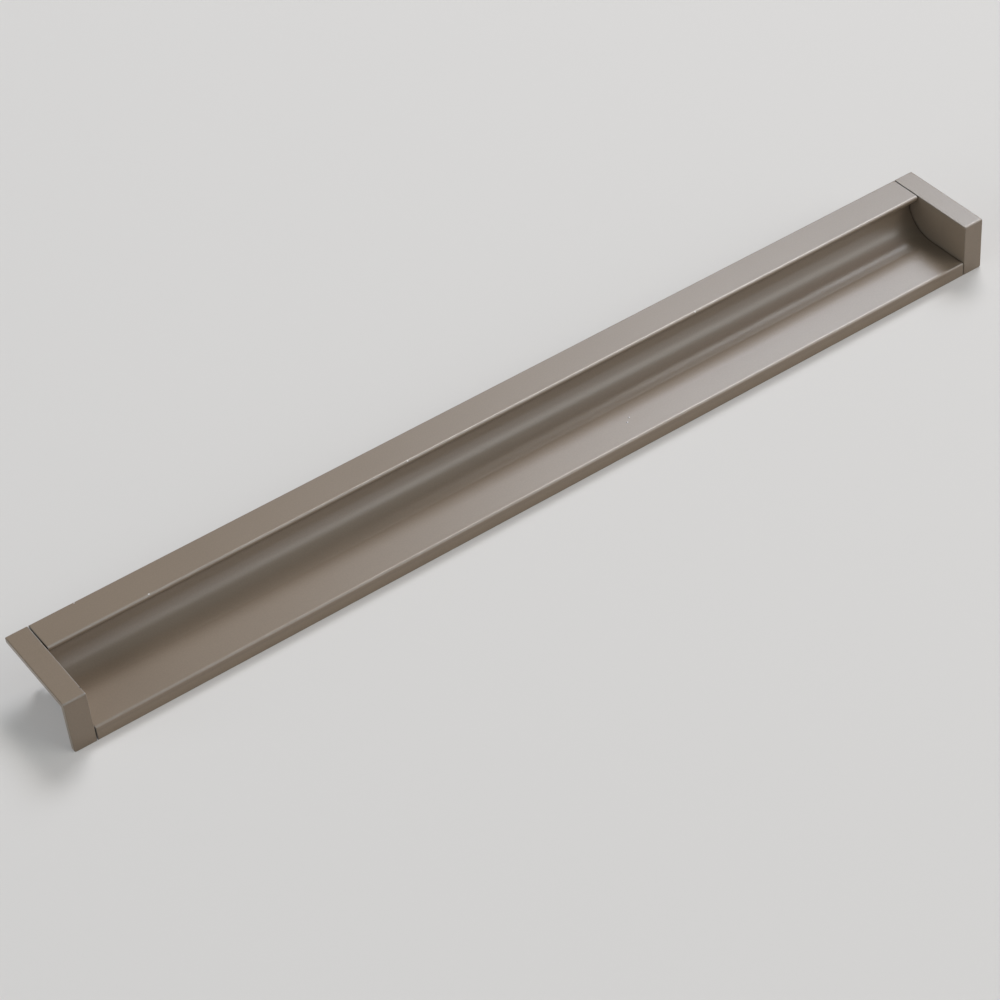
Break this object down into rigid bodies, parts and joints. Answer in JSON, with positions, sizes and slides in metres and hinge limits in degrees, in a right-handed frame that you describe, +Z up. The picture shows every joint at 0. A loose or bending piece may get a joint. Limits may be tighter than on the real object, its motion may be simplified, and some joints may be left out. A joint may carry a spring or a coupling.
{
  "type": "handleless finger pull profile",
  "caption": "Recessed finger pull for the edge of a cabinet door: a curved metal channel under a flat cover rim, with a front lip and L-shaped end caps.",
  "frame": {"origin": "below the middle of the pull, level with the bottom edge of its front flange", "axes": "+X along the channel, +Y from the front flange towards the cover rim, +Z up out of the pocket, through the mouth of the channel"},
  "size_m": [0.3, 0.0306, 0.017],
  "materials": {
    "profile_lacquer": "satin taupe metallic lacquer on an extruded profile",
    "cap_lacquer": "satin taupe metallic lacquer on a cast cap"
  },
  "bodies": {
    "root": {"channel_profile": "profile_lacquer", "end_cap_left": "cap_lacquer", "end_cap_right": "cap_lacquer"}
  },
  "joints": []
}
